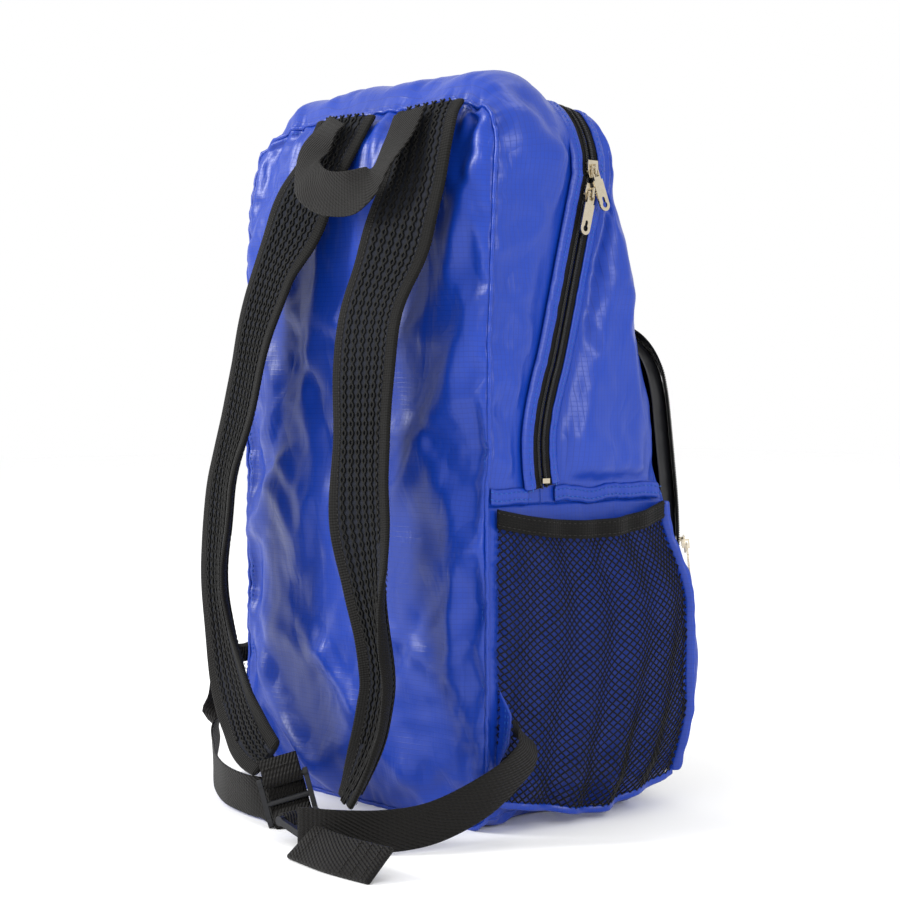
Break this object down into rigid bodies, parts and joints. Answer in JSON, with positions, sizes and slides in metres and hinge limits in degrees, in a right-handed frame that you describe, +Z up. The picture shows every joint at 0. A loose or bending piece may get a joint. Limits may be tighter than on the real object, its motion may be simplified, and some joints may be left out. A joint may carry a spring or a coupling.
{
  "type": "daypack",
  "caption": "Light ripstop daypack with padded mesh shoulder straps, a top zip with twin sliders, mesh side pockets and a zipped front pocket.",
  "frame": {"origin": "centre of the flat base on the floor, under the pack body", "axes": "+Z up; +Y out of the front pocket, so the back panel with the straps faces -Y; +X out of the side panel that carries the zip sliders"},
  "size_m": [0.325, 0.3221, 0.4582],
  "materials": {
    "ripstop": "satin ripstop nylon",
    "pocket_lining": "satin",
    "zip_tape": "woven",
    "zip_coil": "satin",
    "zip_metal": "polished",
    "pocket_mesh": "knitted mesh",
    "elastic": "ribbed",
    "air_mesh": "spacer mesh",
    "strap_binding": "grosgrain",
    "webbing": "woven",
    "buckle_plastic": "moulded satin"
  },
  "bodies": {
    "pack": {"back_panel": "ripstop", "rear_gusset": "ripstop", "front_gusset": "ripstop", "front_panel": "ripstop", "bottom_panel": "ripstop", "side_panel_left": "ripstop", "side_panel_right": "ripstop", "seam_band_left": "ripstop", "seam_band_right": "ripstop", "back_piping": "ripstop", "main_zip_tape": "zip_tape", "main_zip_coil": "zip_coil", "main_zip_stops": "zip_metal", "mesh_pocket_left": "pocket_mesh", "mesh_pocket_right": "pocket_mesh", "pocket_elastic_left": "elastic", "pocket_elastic_right": "elastic", "front_pocket_gusset": "pocket_lining", "front_pocket_face": "pocket_lining", "front_zip_tape": "zip_tape", "front_zip_coil": "zip_coil", "strap_root_left": "air_mesh", "strap_root_right": "air_mesh", "anchor_tab_left": "ripstop", "anchor_tab_right": "ripstop"},
    "slider_upper": {"slider_upper": "zip_metal"},
    "pull_upper": {"pull_upper": "zip_metal"},
    "slider_lower": {"slider_lower": "zip_metal"},
    "pull_lower": {"pull_lower": "zip_metal"},
    "front_slider": {"front_slider": "zip_metal"},
    "front_pull": {"front_pull": "zip_metal"},
    "strap_left": {"strap_pad_left": "air_mesh", "strap_binding_left": "strap_binding", "buckle_loop_left": "webbing", "webbing_left": "webbing"},
    "strap_right": {"strap_pad_right": "air_mesh", "strap_binding_right": "strap_binding", "buckle_loop_right": "webbing", "webbing_right": "webbing", "webbing_tail_right": "webbing"},
    "lock_left": {"ladder_lock_left": "buckle_plastic", "webbing_tail_left": "webbing"},
    "lock_right": {"ladder_lock_right": "buckle_plastic"},
    "haul_loop": {"haul_loop": "webbing"}
  },
  "joints": [
    {"name": "zip_down", "type": "slide", "parent": "pack", "child": "slider_lower", "axis": [0, -0.2511, -0.968], "range_m": [0, 0.09]},
    {"name": "zip_round_corner", "type": "hinge", "parent": "pack", "child": "slider_upper", "pos_m": [0.075, 0.009, 0.406], "axis": [0, -1, 0], "range_deg": [0, 48]},
    {"name": "pull_lower_lift", "type": "hinge", "parent": "slider_lower", "child": "pull_lower", "pos_m": [0.12995, 0.00668, 0.391], "axis": [0, -0.968, 0.2511], "range_deg": [0, 60]},
    {"name": "pull_upper_lift", "type": "hinge", "parent": "slider_upper", "child": "pull_upper", "pos_m": [0.12995, 0.009, 0.406], "axis": [0, -0.9613, -0.2756], "range_deg": [0, 150]},
    {"name": "front_zip_up", "type": "slide", "parent": "pack", "child": "front_slider", "axis": [0, -0.1386, 0.9903], "range_m": [0, 0.088]},
    {"name": "front_pull_lift", "type": "hinge", "parent": "front_slider", "child": "front_pull", "pos_m": [0.11648, 0.11064, 0.16649], "axis": [0.7105, -0.6969, -0.0977], "range_deg": [0, 165]},
    {"name": "haul_loop_lift", "type": "hinge", "parent": "pack", "child": "haul_loop", "pos_m": [0.02, -0.0817, 0.4425], "axis": [-1, 0, 0], "range_deg": [0, 140]},
    {"name": "strap_right_swing", "type": "hinge", "parent": "pack", "child": "strap_right", "pos_m": [0.071, -0.099, 0.3715], "axis": [-0.21, -0.105, 0.972], "range_deg": [0, 25]},
    {"name": "strap_left_swing", "type": "hinge", "parent": "pack", "child": "strap_left", "pos_m": [-0.0414, -0.0962, 0.3735], "axis": [0.3064, -0.0968, 0.947], "range_deg": [-25, 0]},
    {"name": "lock_left_tilt", "type": "hinge", "parent": "strap_left", "child": "lock_left", "pos_m": [0.02032, -0.15118, 0.02936], "axis": [-0.5945, -0.7569, -0.2714], "range_deg": [0, 20]},
    {"name": "lock_right_tilt", "type": "hinge", "parent": "strap_right", "child": "lock_right", "pos_m": [0.07541, -0.1608, 0.00549], "axis": [-0.1045, 0.9945, 0], "range_deg": [0, 20]}
  ]
}
